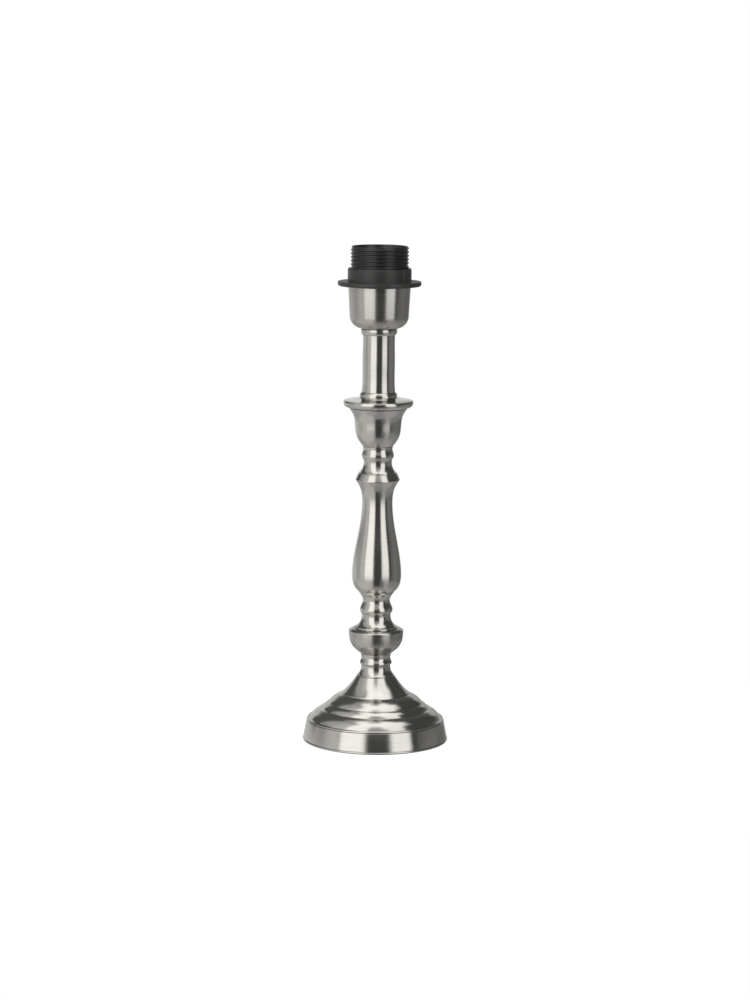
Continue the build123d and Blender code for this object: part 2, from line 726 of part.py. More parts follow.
# ================================================================== lampholder
# Spun metal cup that hides the lower half of the lampholder.
with BuildPart() as holder_cup:
    with BuildSketch(Plane.XZ):
        with BuildLine():
            floor_end = holder_cup_side_radius - holder_cup_corner_radius
            side_foot = holder_cup_foot + holder_cup_corner_radius
            outside = RadiusArc((floor_end, holder_cup_foot), (holder_cup_side_radius, side_foot),
                                -holder_cup_corner_radius)
            inside = RadiusArc((floor_end, cup_washer_foot),
                               (holder_cup_side_radius - holder_cup_wall, side_foot),
                               holder_cup_wall - holder_cup_corner_radius)
            Polyline(outside @ 1, (holder_cup_rim_radius, holder_cup_top),
                     (holder_cup_rim_radius - holder_cup_wall, holder_cup_top), inside @ 1)
            Polyline(inside @ 0, (rod_hole, cup_washer_foot), (rod_hole, holder_cup_foot),
                     outside @ 0)
        make_face()
    revolve(axis=Axis.Z)
keep(holder_cup.part, "holder_cup")

# Lower half of the lampholder: a round box screwed on the rod, with a boss for the rod and a
# spigot that carries the contact carrier.
spigot_outer_radius = sleeve_bore_radius - sleeve_clearance
set_screw_height = cap_foot + cap_floor + cap_boss_height / 2
with BuildPart() as holder_cap:
    with BuildSketch(Plane.XZ):
        with BuildLine():
            cap_floor_line = Line((rod_hole, cap_foot), (cap_radius - cap_corner_radius, cap_foot))
            cap_corner = RadiusArc(cap_floor_line @ 1,
                                   (cap_radius, cap_foot + cap_corner_radius), -cap_corner_radius)
            Polyline(cap_corner @ 1, (cap_radius, cap_shoulder),
                     (spigot_outer_radius, cap_shoulder), (spigot_outer_radius, carrier_foot),
                     (spigot_outer_radius - cap_wall, carrier_foot),
                     (spigot_outer_radius - cap_wall, cap_foot + cap_floor),
                     (cap_boss_radius, cap_foot + cap_floor),
                     (cap_boss_radius, cap_foot + cap_floor + cap_boss_height),
                     (rod_hole, cap_foot + cap_floor + cap_boss_height), cap_floor_line @ 0)
        make_face()
    revolve(axis=Axis.Z)
    with BuildSketch(Plane.XZ):
        with Locations((0, set_screw_height)):
            Circle(set_screw_diameter / 2 + slip_clearance)
    extrude(amount=cap_boss_radius + sleeve_clearance, mode=Mode.SUBTRACT)
keep(holder_cap.part, "holder_cap")

# Grub screw in the boss, which keeps the lampholder from turning on the rod.
with BuildPart() as cap_set_screw:
    with BuildSketch(Plane.XZ.offset(rod_radius + slip_clearance)):
        with Locations((0, set_screw_height)):
            Circle(set_screw_diameter / 2)
    extrude(amount=cap_boss_radius - rod_radius)
    with BuildSketch(Plane.XZ.offset(cap_boss_radius + slip_clearance)):
        with Locations((0, set_screw_height)):
            Rectangle(set_screw_diameter, set_screw_slot)
    extrude(amount=-set_screw_slot_depth, mode=Mode.SUBTRACT)
keep(cap_set_screw.part, "cap_set_screw")


def thread_ridge(pitch, turns, root_radius, start_height, outline):
    """A right-handed ridge along a helix. The outline's pairs are a distance out from the
    root radius and a height, and it starts and ends inside the wall that carries it."""
    with BuildLine():
        helix = Helix(pitch=pitch, height=pitch * turns, radius=root_radius,
                      center=(0, 0, start_height))
    with BuildSketch(Plane(origin=helix @ 0, x_dir=(1, 0, 0), z_dir=helix % 0)) as ridge:
        with BuildLine():
            Polyline(*outline, close=True)
        make_face()
    sweep(ridge.sketch, path=helix, is_frenet=True)


# Threaded sleeve: the black shell with a thread for the shade ring. Inside, a ledge holds the
# contact carrier down, and the mouth opens towards the rim.
thread_length = sleeve_length - sleeve_thread_start - sleeve_lead_in
with BuildPart() as threaded_sleeve:
    with BuildSketch(Plane.XZ):
        ledge = carrier_top + sleeve_clearance
        with BuildLine():
            rim = ThreePointArc((sleeve_root_radius, sleeve_top - sleeve_rim_round),
                                ((sleeve_root_radius + sleeve_mouth_radius) / 2, sleeve_top),
                                (sleeve_mouth_radius, sleeve_top - sleeve_rim_round))
            Polyline(rim @ 1, (sleeve_bore_radius - sleeve_ledge_width, ledge + sleeve_ledge_height),
                     (sleeve_bore_radius - sleeve_ledge_width, ledge), (sleeve_bore_radius, ledge),
                     (sleeve_bore_radius, cap_shoulder), (sleeve_root_radius, cap_shoulder),
                     rim @ 0)
        make_face()
    revolve(axis=Axis.Z)
    thread_ridge(sleeve_thread_pitch, thread_length / sleeve_thread_pitch, sleeve_root_radius,
                 cap_shoulder + sleeve_thread_start,
                 [(-sleeve_thread_root, -sleeve_thread_base / 2),
                  (sleeve_thread_depth, -sleeve_thread_crest / 2),
                  (sleeve_thread_depth, sleeve_thread_crest / 2),
                  (-sleeve_thread_root, sleeve_thread_base / 2)])
keep(threaded_sleeve.part, "threaded_sleeve")

# Contact carrier: a deck on the cap's spigot with a tall wall round the screw shell.
carrier_radius = sleeve_bore_radius - sleeve_clearance
with BuildPart() as contact_carrier:
    ring_prism(carrier_radius, carrier_bore_radius, carrier_foot, carrier_height)
    with BuildSketch(Plane.XY.offset(carrier_top)):
        Circle(carrier_mouth_radius)
    extrude(amount=-carrier_mouth_depth, mode=Mode.SUBTRACT)
    chamfer(contact_carrier.edges().filter_by(GeomType.CIRCLE).group_by(Axis.Z)[-1],
            length=carrier_edge)
    with BuildSketch(Plane.XY.offset(carrier_foot)):
        Circle(carrier_mouth_radius)
        with Locations((shell_rivet_place, 0), (contact_rivet_place, 0)):
            Circle(rivet_diameter / 2 + slip_clearance, mode=Mode.SUBTRACT)
    extrude(amount=carrier_floor)
keep(contact_carrier.part, "contact_carrier")

# Screw shell: thin metal with a rolled thread for the lamp's cap, riveted to the deck.
with BuildPart() as screw_shell:
    ring_prism(shell_outer_radius, shell_inner_radius, carrier_deck, shell_height)
    with BuildSketch(Plane.XY.offset(carrier_deck)):
        Circle(shell_outer_radius)
        Circle(shell_flange_inner_radius, mode=Mode.SUBTRACT)
        with Locations((shell_rivet_place, 0)):
            Circle(rivet_diameter / 2 + slip_clearance, mode=Mode.SUBTRACT)
    extrude(amount=shell_wall)
    thread_ridge(lamp_thread_pitch, lamp_thread_turns, shell_inner_radius,
                 carrier_deck + lamp_thread_start,
                 [(lamp_thread_root, -lamp_thread_base / 2),
                  (-lamp_thread_depth, -lamp_thread_crest / 2),
                  (-lamp_thread_depth, lamp_thread_crest / 2),
                  (lamp_thread_root, lamp_thread_base / 2)])
keep(screw_shell.part, "screw_shell")

# ------------------------------------------------------------------ contacts and terminals
contact_root_end = contact_root_start + contact_root_length
with BuildPart() as contact_root:
    with BuildSketch(Plane.XY.offset(carrier_deck)):
        with Locations((contact_root_start + contact_root_length / 2, 0)):
            Rectangle(contact_root_length, contact_width)
        with Locations((contact_rivet_place, 0)):
            Circle(rivet_diameter / 2 + slip_clearance, mode=Mode.SUBTRACT)
    extrude(amount=contact_thickness)
keep(contact_root.part, "contact_root")

# The springing tongue of the centre contact, cut from its root at the bend line, about which
# it gives when a lamp is screwed in.
with BuildPart() as centre_contact:
    with BuildSketch(Plane.XZ):
        bend = (contact_root_end + contact_bend_gap, carrier_deck)
        crown = (bend[0] + contact_run, bend[1] + contact_rise)
        tip = (crown[0] + contact_tip_run, crown[1] - contact_tip_drop)
        with BuildLine():
            Polyline(bend, crown, tip)
            offset(amount=contact_thickness, side=Side.LEFT)
        make_face()
    extrude(amount=contact_width / 2, both=True)
keep(centre_contact.part, "centre_contact")

# Two brass blocks under the deck, each with a clamp screw from below and a crosswise hole for
# the wire over the screw.
terminal_foot = carrier_foot - terminal_height
terminal_middle = (spigot_outer_radius - cap_wall - terminal_gap) - terminal_length / 2
terminal_screw_place = terminal_middle + terminal_screw_offset
wire_hole_height = terminal_foot + terminal_screw_depth + terminal_wire_hole / 3
with BuildPart() as terminals:
    with BuildSketch(Plane.XY.offset(terminal_foot)):
        with Locations((terminal_middle, 0), (-terminal_middle, 0)):
            Rectangle(terminal_length, terminal_width)
    extrude(amount=terminal_height)
    with BuildSketch(Plane.XY.offset(terminal_foot)):
        with Locations((terminal_screw_place, 0), (-terminal_screw_place, 0)):
            Circle(terminal_screw_diameter / 2 + slip_clearance)
    extrude(amount=wire_hole_height - terminal_foot, mode=Mode.SUBTRACT)
    with BuildSketch(Plane.XZ):
        with Locations((terminal_screw_place, wire_hole_height),
                       (-terminal_screw_place, wire_hole_height)):
            Circle(terminal_wire_hole / 2)
    extrude(amount=terminal_width, both=True, mode=Mode.SUBTRACT)
keep(terminals.part, "terminals")

with BuildPart() as terminal_screws:
    head_foot = terminal_foot - terminal_screw_head_height
    for place in (terminal_screw_place, -terminal_screw_place):
        with BuildSketch(Plane.XY.offset(head_foot)):
            with Locations((place, 0)):
                Circle(terminal_screw_head_diameter / 2)
        extrude(amount=terminal_screw_head_height)
        with BuildSketch(Plane.XY.offset(head_foot)):
            with Locations((place, 0)):
                Circle(terminal_screw_diameter / 2)
        extrude(amount=terminal_screw_head_height + terminal_screw_depth)
        with BuildSketch(Plane.XY.offset(head_foot)):
            with Locations((place, 0)):
                Rectangle(terminal_screw_slot, terminal_screw_head_diameter)
        extrude(amount=terminal_screw_slot_depth, mode=Mode.SUBTRACT)
keep(terminal_screws.part, "terminal_screws")

# Two rivets through the deck: one holds the screw shell, the other the centre contact's root.
with BuildPart() as contact_rivets:
    for place, sheet in ((shell_rivet_place, shell_wall), (contact_rivet_place, contact_thickness)):
        with BuildSketch(Plane.XY.offset(carrier_foot)):
            with Locations((place, 0)):
                Circle(rivet_diameter / 2)
        extrude(amount=carrier_floor + sheet)
        with BuildSketch(Plane.XY.offset(carrier_deck + sheet)):
            with Locations((place, 0)):
                Circle(rivet_head_diameter / 2)
        extrude(amount=rivet_head_height)
keep(contact_rivets.part, "contact_rivets")

# ================================================================== shade ring
# Black ring on the sleeve's thread: a flange that clamps the shade and a collar with two
# raised grips. Its bore is drawn smooth at the thread's crests, so it can travel.
with BuildPart() as shade_ring:
    ring_prism(ring_flange_radius, ring_bore, holder_cup_top, ring_flange_thickness)
    fillet(shade_ring.edges().filter_by(GeomType.CIRCLE).group_by(SortBy.RADIUS)[-1],
           radius=ring_flange_fillet)
    ring_prism(ring_grip_radius, ring_bore, holder_cup_top + ring_flange_thickness,
               ring_collar_height)
    with BuildSketch(Plane.XY.offset(holder_cup_top + ring_flange_thickness)) as recesses:
        half_angle = math.radians(ring_recess_angle / 2)
        reach = ring_flange_radius
        with BuildLine(Rotation(0, 0, ring_turn)):
            Polyline((0, 0), (reach * math.tan(half_angle), -reach),
                     (-reach * math.tan(half_angle), -reach), close=True)
        make_face()
        mirror(about=Plane.XZ.rotated((0, 0, ring_turn)))
        Circle(ring_flange_radius, mode=Mode.INTERSECT)
        Circle(ring_recess_radius, mode=Mode.SUBTRACT)
    extrude(amount=ring_collar_height, mode=Mode.SUBTRACT)
    chamfer(shade_ring.edges().filter_by(GeomType.CIRCLE).group_by(Axis.Z)[-1],
            length=ring_top_chamfer)
keep(shade_ring.part, "shade_ring")
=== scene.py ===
"""A candlestick table lamp: turned and spun nickel pieces on one rod, with a black lampholder.

Heights, radii and lengths are in millimetres unless a comment says otherwise, and each finished
mesh is in metres. A piece's heights are counted from its own foot, which is read from the frame.
"""

import math

import bpy
import numpy as np
from mathutils import Matrix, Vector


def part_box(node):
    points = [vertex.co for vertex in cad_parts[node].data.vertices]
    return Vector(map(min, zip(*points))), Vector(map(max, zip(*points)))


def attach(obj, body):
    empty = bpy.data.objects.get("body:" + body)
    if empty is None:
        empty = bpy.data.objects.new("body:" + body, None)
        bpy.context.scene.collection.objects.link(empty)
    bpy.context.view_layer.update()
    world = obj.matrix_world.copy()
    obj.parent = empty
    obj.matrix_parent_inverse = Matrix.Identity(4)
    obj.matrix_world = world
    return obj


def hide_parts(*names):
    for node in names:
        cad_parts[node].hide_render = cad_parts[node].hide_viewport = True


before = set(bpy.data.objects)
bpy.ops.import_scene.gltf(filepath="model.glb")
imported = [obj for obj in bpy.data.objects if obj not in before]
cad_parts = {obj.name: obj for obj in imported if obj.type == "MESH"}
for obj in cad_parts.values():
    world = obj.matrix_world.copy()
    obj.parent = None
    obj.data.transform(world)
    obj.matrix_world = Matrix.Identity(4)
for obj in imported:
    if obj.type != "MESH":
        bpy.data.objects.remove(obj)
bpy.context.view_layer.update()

MM = 0.001              # a millimetre in metres
AROUND = 256            # steps round the axis on a large piece
ARC_STEPS = 24          # steps along an arc of an outline
CORNER_STEPS = 4        # steps along a broken corner
EDGE = 0.22             # how far a turned corner is broken
ROD_HOLE = 5.2          # radius of the hole for the rod
WALL = 1.6              # of the hollow knop, baluster and candle cup
STAND = "stand"         # the body of all that stands still


# ------------------------------------------------------------------ outlines
# A stretch is an array of radius and height pairs. An outline is a list of stretches, each of
# which starts where the one before it ends.
def line(*points):
    """Straight runs through the points."""
    return [np.array([a, b], float) for a, b in zip(points[:-1], points[1:])]


def arc(start, middle, end):
    """The circle's arc from start through middle to end: the centre is as far from all three."""
    a, m, b = (np.array(p, float) for p in (start, middle, end))
    centre = np.linalg.solve(2 * np.array([m - a, b - a]), [m @ m - a @ a, b @ b - a @ a])
    first, halfway, last = (math.atan2(*(p - centre)[::-1]) for p in (a, m, b))
    turn = (halfway - first + math.pi) % (2 * math.pi) - math.pi
    turn += (last - halfway + math.pi) % (2 * math.pi) - math.pi
    angles = first + turn * np.linspace(0, 1, ARC_STEPS + 1)
    radius = np.linalg.norm(a - centre)
    return [centre + radius * np.stack([np.cos(angles), np.sin(angles)], axis=1)]


def swell(start, end, rise):
    """The arc from start to end that stands out by rise, to the left of the way there."""
    a, b = np.array(start, float), np.array(end, float)
    along = (b - a) / np.linalg.norm(b - a)
    return arc(a, (a + b) / 2 + rise * np.array([-along[1], along[0]]), b)


def flow(*points, steps=16):
    """The smooth curve through the points: a cubic between each two, measured by the straight
    distance along them, whose slope and bend agree at every point and whose bend is nought at
    both ends."""
    p = np.array(points, float)
    span = np.linalg.norm(np.diff(p, axis=0), axis=1)
    count = len(p)
    system, right = np.eye(count), np.zeros((count, 2))
    for i in range(1, count - 1):
        system[i, i - 1:i + 2] = span[i - 1], 2 * (span[i - 1] + span[i]), span[i]
        right[i] = 6 * ((p[i + 1] - p[i]) / span[i] - (p[i] - p[i - 1]) / span[i - 1])
    bend = np.linalg.solve(system, right)
    t = np.linspace(0, 1, steps + 1)[:, None]
    runs = [p[i] * (1 - t) + p[i + 1] * t
            - span[i] ** 2 / 6 * t * (1 - t) * (bend[i] * (2 - t) + bend[i + 1] * (1 + t))
            for i in range(count - 1)]
    return [np.concatenate([run[:-1] for run in runs] + [p[-1:]])]


def cut_back(stretch, distance):
    """The stretch without its last piece of that length, or without its last third if short."""
    steps = np.linalg.norm(np.diff(stretch, axis=0), axis=1)
    travelled = np.concatenate([[0], np.cumsum(steps)])
    stop = travelled[-1] - min(distance, travelled[-1] / 3)
    kept = stretch[travelled < stop - 1e-6]
    end = [np.interp(stop, travelled, stretch[:, i]) for i in (0, 1)]
    return np.concatenate([kept, [end]])


def closed_outline(stretches, edge=EDGE):
    """One closed loop of points. Each corner between stretches becomes a small curve whose
    points are (1-t)^2 of its start, 2t(1-t) of the corner and t^2 of its end."""
    runs = [cut_back(cut_back(s, edge)[::-1], edge)[::-1] for s in stretches]
    t = np.linspace(0, 1, CORNER_STEPS + 1)[1:-1, None]
    loop = []
    for i, run in enumerate(runs):
        corner, following = stretches[i][-1], runs[(i + 1) % len(runs)][0]
        loop += [run, (1 - t) ** 2 * run[-1] + 2 * t * (1 - t) * corner + t ** 2 * following]
    return np.concatenate(loop)


# ------------------------------------------------------------------ meshes
def grid_mesh(name, points, material, along=True):
    """A mesh over a grid of points, an array of rows by columns by 3. Each row closes on itself
    round the axis, and where along is true the last row closes on the first."""
    rows, columns = points.shape[:2]
    index = np.arange(rows * columns).reshape(rows, columns)
    if along:
        index = np.concatenate([index, index[:1]])
    index = np.concatenate([index, index[:, :1]], axis=1)
    faces = np.stack([index[:-1, :-1], index[:-1, 1:], index[1:, 1:], index[1:, :-1]], axis=-1)
    faces = faces.reshape(-1, 4)
    mesh = bpy.data.meshes.new(name)
    mesh.vertices.add(rows * columns)
    mesh.vertices.foreach_set("co", (points.reshape(-1) * MM).astype(np.float32))
    mesh.loops.add(faces.size)
    mesh.loops.foreach_set("vertex_index", faces.reshape(-1).astype(np.int32))
    mesh.polygons.add(len(faces))
    mesh.polygons.foreach_set("loop_start", np.arange(0, faces.size, 4, dtype=np.int32))
    mesh.update(calc_edges=True)
    mesh.shade_smooth()
    piece = bpy.data.objects.new(name, mesh)
    bpy.context.scene.collection.objects.link(piece)
    mesh.materials.append(material)
    return piece


def turned(name, loop, material, foot, around=AROUND, reach=None):
    """A turned piece: the point (radius, height) of the loop at the angle a is carried to
    (radius cos a, radius sin a, foot + height). Where reach is given, it is a function of the
    radii, heights and angles that returns the radii to use."""
    following = np.roll(loop, -1, axis=0)
    if np.sum(loop[:, 0] * following[:, 1] - following[:, 0] * loop[:, 1]) < 0:
        loop = loop[::-1]       # its area is negative, so its faces would point inwards
    angle = np.linspace(0, 2 * math.pi, around, endpoint=False)[None, :]
    radius, height = loop[:, :1] + 0 * angle, loop[:, 1:] + 0 * angle
    if reach:
        radius = reach(radius, height, angle)
    points = np.stack([radius * np.cos(angle), radius * np.sin(angle), height + foot], axis=-1)
    return grid_mesh(name, points, material)


def dress(piece, body, node):
    """The piece rides on the body and stands for the node, whose own mesh is hidden."""
    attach(piece, body)
    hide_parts(node)


def foot_of(node):
    """Height of a node's lowest point."""
    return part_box(node)[0].z / MM


def height_of(node):
    """Height of a node from its lowest to its highest point."""
    low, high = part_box(node)
    return (high.z - low.z) / MM


# ------------------------------------------------------------------ colours and nodes
def colour(hex_code):
    """An sRGB hex code as linear red, green and blue, with an alpha of one."""
    parts = [int(hex_code[i:i + 2], 16) / 255 for i in (1, 3, 5)]
    return (*[p / 12.92 if p <= 0.04045 else ((p + 0.055) / 1.055) ** 2.4 for p in parts], 1.0)


def feed(tree, node, inputs):
    """Gives each input of the node its value, or links it to the output that it is given."""
    for name, value in inputs.items():
        if isinstance(value, bpy.types.NodeSocket):
            tree.links.new(value, node.inputs[name])
        else:
            node.inputs[name].default_value = value


def add(tree, kind, inputs, **settings):
    """Adds a node with its settings and feeds its inputs."""
    node = tree.nodes.new(kind)
    for name, value in settings.items():
        setattr(node, name, value)
    feed(tree, node, inputs)
    return node


def new_material(name):
    """An empty material: its tree, its surface shader and its object coordinates."""
    material = bpy.data.materials.new(name)
    material.use_nodes = True
    tree = material.node_tree
    shader = tree.nodes["Principled BSDF"]
    place = add(tree, "ShaderNodeTexCoord", {}).outputs["Object"]
    return material, tree, shader, place


def rings_round_axis(tree, place, spacing, drift):
    """Noise that is drawn out round the axis, as a lathe or a brush leaves it: it is read at
    the radius and the height over the spacing, and at the angle's cosine and sine times drift."""
    parts = add(tree, "ShaderNodeSeparateXYZ", {0: place})
    flat = add(tree, "ShaderNodeCombineXYZ", {"X": parts.outputs["X"], "Y": parts.outputs["Y"]})
    radius = add(tree, "ShaderNodeVectorMath", {0: flat.outputs[0]}, operation="LENGTH")
    direction = add(tree, "ShaderNodeVectorMath", {0: flat.outputs[0]}, operation="NORMALIZE")
    way = add(tree, "ShaderNodeSeparateXYZ", {0: direction.outputs[0]})
    across = [add(tree, "ShaderNodeMath", {0: value, 1: 1 / (spacing * MM)}, operation="MULTIPLY")
              for value in (radius.outputs["Value"], parts.outputs["Z"])]
    round_axis = [add(tree, "ShaderNodeMath", {0: way.outputs[axis], 1: drift},
                      operation="MULTIPLY") for axis in ("X", "Y")]
    spot = add(tree, "ShaderNodeCombineXYZ", {"X": across[0].outputs[0], "Y": across[1].outputs[0],
                                              "Z": round_axis[0].outputs[0]})
    return add(tree, "ShaderNodeTexNoise", {"Vector": spot.outputs[0],
                                            "W": round_axis[1].outputs[0], "Scale": 1.0,
                                            "Detail": 2.0, "Roughness": 0.55},
               noise_dimensions="4D").outputs["Fac"]


# ------------------------------------------------------------------ materials
# Painted shade in the seams and creases: the colour the plate darkens to where little open sky
# reaches it.
PAINTED_SEAM_SHADE = "#2A2826"
SEAM_SHADE_REACH = 1.1        # how far from a seam its painted shade reaches
SEAM_FULL_SHADE = 0.3       # with less open sky than this share, a spot is all painted shade
SEAM_NO_SHADE = 0.78       # with more than this share, it has no painted shade


def satin_nickel(name, tones, roughness, ring_depth):
    """Nickel plate over a turned and brushed piece. The fine rings of the brush run round the
    axis: a reflection keeps sharp sides and is drawn out along the outline, and the coarser
    turning marks break it up into faint level lines. Shade is painted into the seams between
    the pieces and into the creases, darkest where the least open sky reaches, so each of these
    looks like a thin dark line."""
    scratch, turning_mark, haze = 0.16, 1.1, 16     # the scratches are coarser than the real ones
    material, tree, shader, place = new_material(name)
    fine = rings_round_axis(tree, place, scratch, drift=2.0)
    coarse = rings_round_axis(tree, place, turning_mark, drift=0.9)
    cloud = add(tree, "ShaderNodeTexNoise", {"Vector": place, "Scale": 1 / (haze * MM),
                                             "Detail": 3.0}).outputs["Fac"]
    worn = add(tree, "ShaderNodeMix", {"Factor": 0.35, "A": coarse, "B": cloud}).outputs["Result"]
    plate = add(tree, "ShaderNodeMix", {"Factor": worn, "A": colour(tones[0]),
                                        "B": colour(tones[1])}, data_type="RGBA").outputs["Result"]
    # Painted shade: an ambient occlusion reading darkens the plate towards the seam colour in seams
    # and creases.
    open_sky = add(tree, "ShaderNodeAmbientOcclusion", {"Distance": SEAM_SHADE_REACH * MM},
                   samples=8).outputs["AO"]
    unshaded = add(tree, "ShaderNodeMapRange", {"Value": open_sky, "From Min": SEAM_FULL_SHADE,
                                             "From Max": SEAM_NO_SHADE}).outputs["Result"]
    tint = add(tree, "ShaderNodeMix", {"Factor": unshaded, "A": colour(PAINTED_SEAM_SHADE), "B": plate},
               data_type="RGBA").outputs["Result"]
    gloss = add(tree, "ShaderNodeMapRange", {"Value": worn, "To Min": roughness[0],
                                             "To Max": roughness[1]}).outputs["Result"]
    brush_way = add(tree, "ShaderNodeVectorMath", {0: (0, 0, 1), 1: place},
                    operation="CROSS_PRODUCT").outputs[0]
    relief = add(tree, "ShaderNodeMix", {"Factor": 0.6, "A": fine, "B": coarse}).outputs["Result"]
    bump = add(tree, "ShaderNodeBump", {"Height": relief, "Strength": 1.0,
                                        "Distance": ring_depth * MM}).outputs["Normal"]
    feed(tree, shader, {"Base Color": tint, "Roughness": gloss, "Normal": bump,
                        "Tangent": brush_way, "Metallic": 1.0, "Anisotropic": 0.8,
                        "Anisotropic Rotation": 0.25})
    return material


def moulded_plastic(name, tones, roughness, grain):
    """Thermoplastic from a spark-eroded mould: nearly black, with a fine even grain that turns
    every reflection into a soft grey sheen. The grain is drawn coarser than the real one."""
    haze, grain_depth = 9, 0.02
    material, tree, shader, place = new_material(name)
    fine = add(tree, "ShaderNodeTexNoise", {"Vector": place, "Scale": 1 / (grain * MM),
                                            "Detail": 2.0}).outputs["Fac"]
    cloud = add(tree, "ShaderNodeTexNoise", {"Vector": place, "Scale": 1 / (haze * MM),
                                             "Detail": 3.0}).outputs["Fac"]
    tint = add(tree, "ShaderNodeMix", {"Factor": cloud, "A": colour(tones[0]),
                                       "B": colour(tones[1])}, data_type="RGBA").outputs["Result"]
    gloss = add(tree, "ShaderNodeMapRange", {"Value": cloud, "To Min": roughness[0],
                                             "To Max": roughness[1]}).outputs["Result"]
    bump = add(tree, "ShaderNodeBump", {"Height": fine, "Strength": 0.35,
                                        "Distance": grain_depth * MM}).outputs["Normal"]
    feed(tree, shader, {"Base Color": tint, "Roughness": gloss, "Normal": bump, "IOR": 1.55})
    return material


def sheet_metal(name, tones, roughness):
    """Stamped brass or plated steel: bright, with a slight cloudiness and fine rolling marks."""
    haze, mark_depth = 3, 0.03
    material, tree, shader, place = new_material(name)
    cloud = add(tree, "ShaderNodeTexNoise", {"Vector": place, "Scale": 1 / (haze * MM),
                                             "Detail": 4.0}).outputs["Fac"]
    tint = add(tree, "ShaderNodeMix", {"Factor": cloud, "A": colour(tones[0]),
                                       "B": colour(tones[1])}, data_type="RGBA").outputs["Result"]
    gloss = add(tree, "ShaderNodeMapRange", {"Value": cloud, "To Min": roughness[0],
                                             "To Max": roughness[1]}).outputs["Result"]
    bump = add(tree, "ShaderNodeBump", {"Height": cloud, "Strength": 0.3,
                                        "Distance": mark_depth * MM}).outputs["Normal"]
    feed(tree, shader, {"Base Color": tint, "Roughness": gloss, "Normal": bump, "Metallic": 1.0})
    return material


def cast_iron(name):
    """Sand-cast iron under a thin black paint: pitted at the size of the sand, and matt."""
    sand_grain, pit_depth = 0.8, 0.2
    material, tree, shader, place = new_material(name)
    sand = add(tree, "ShaderNodeTexNoise", {"Vector": place, "Scale": 1 / (sand_grain * MM),
                                            "Detail": 5.0, "Roughness": 0.65}).outputs["Fac"]
    tint = add(tree, "ShaderNodeMix", {"Factor": sand, "A": colour("#232221"),
                                       "B": colour("#3A3836")}, data_type="RGBA").outputs["Result"]
    bump = add(tree, "ShaderNodeBump", {"Height": sand, "Strength": 0.8,
                                        "Distance": pit_depth * MM}).outputs["Normal"]
    feed(tree, shader, {"Base Color": tint, "Normal": bump, "Roughness": 0.7})
    return material


def wool_felt(name):
    """Pressed wool felt: no weave, but matted fibres about half a millimetre long, whose
    tips catch a little light at the edge."""
    fibre_length, fibre_rise = 0.45, 0.25
    material, tree, shader, place = new_material(name)
    fibre = add(tree, "ShaderNodeTexNoise", {"Vector": place, "Scale": 1 / (fibre_length * MM),
                                             "Detail": 6.0, "Roughness": 0.7,
                                             "Distortion": 1.6}).outputs["Fac"]
    tint = add(tree, "ShaderNodeMix", {"Factor": fibre, "A": colour("#141413"),
                                       "B": colour("#343331")}, data_type="RGBA").outputs["Result"]
    bump = add(tree, "ShaderNodeBump", {"Height": fibre, "Strength": 1.0,
                                        "Distance": fibre_rise * MM}).outputs["Normal"]
    feed(tree, shader, {"Base Color": tint, "Normal": bump, "Roughness": 0.95,
                        "Sheen Weight": 0.3, "Sheen Roughness": 0.6})
    return material


nickel = satin_nickel("satin_nickel_plate", ("#C6C4BF", "#E0DED9"), (0.12, 0.18), ring_depth=0.05)
spun_nickel = satin_nickel("coarsely_brushed_nickel_plate", ("#BAB8B3", "#D2D0CB"), (0.19, 0.27),
                           ring_depth=0.045)
black = moulded_plastic("black_thermoplastic", ("#1F1F1E", "#2A2A29"), (0.24, 0.33), grain=0.22)
ring_black = moulded_plastic("black_ring_thermoplastic", ("#323231", "#3E3E3D"), (0.34, 0.44),
                             grain=0.3)
nylon = moulded_plastic("black_nylon", ("#1B1B1A", "#242423"), (0.42, 0.52), grain=0.3)
brass = sheet_metal("stamped_brass", ("#C9A45C", "#DDBB78"), (0.2, 0.34))
zinc = sheet_metal("zinc_plated_steel", ("#B9BCC0", "#C9CCCF"), (0.24, 0.36))
iron = cast_iron("painted_cast_iron")
felt = wool_felt("pressed_felt")


# ------------------------------------------------------------------ nickel pieces
def nickel_piece(node, stretches, edge=EDGE, around=AROUND, plate=nickel):
    """Turns the outline and puts it in the node's place."""
    piece = turned(node + "_nickel", closed_outline(stretches, edge), plate, foot_of(node), around)
    dress(piece, STAND, node)


def base_outline():
    """Rolled hem, skirt, lip, three swelling rings and a bell, with the sheet's inner side. Its
    heights are first counted from the table, which the hem clears a little."""
    hem, skirt_top, lip, top, sheet = 50.8, 48.1, 15.6, 45.8, 0.9
    outer = arc((49.3, 1.05), (50.05, 0.3), (hem, 1.05))
    outer += arc((hem, 1.05), (50.7, 1.45), (50.3, 1.7))
    outer += line((50.3, 1.7), (50.3, 1.95), (50.45, 2.05), (skirt_top, lip - 1.35),
                  (skirt_top - 0.6, lip - 1.15))
    outer += arc((skirt_top - 0.6, lip - 1.15), (47.75, 14.95), (46.9, lip))
    outer += line((46.9, lip), (45.6, lip))
    outer += swell((45.6, lip), (38.1, 22.4), -1.15) + line((38.1, 22.4), (37.0, 22.4))
    outer += swell((37.0, 22.4), (33.3, 26.4), -0.5) + line((33.3, 26.4), (32.9, 26.4))
    outer += swell((32.9, 26.4), (23.7, 33.0), -1.05) + line((23.7, 33.0), (23.4, 33.5))
    outer += arc((23.4, 33.5), (16.95, 40.4), (13.25, top))
    outer += line((13.25, top), (ROD_HOLE, top), (ROD_HOLE, top - sheet), (12.6, top - sheet),
                  (16.1, 39.6), (22.5, 32.2), (32.0, 25.5), (36.0, 21.4), (45.0, 14.7),
                  (46.9, 14.6), (49.3, 2.4), (49.3, 1.05))
    return [stretch - np.array([0, foot_of("base_shell")]) for stretch in outer]


nickel_piece("base_shell", base_outline(), edge=0.16, around=340)


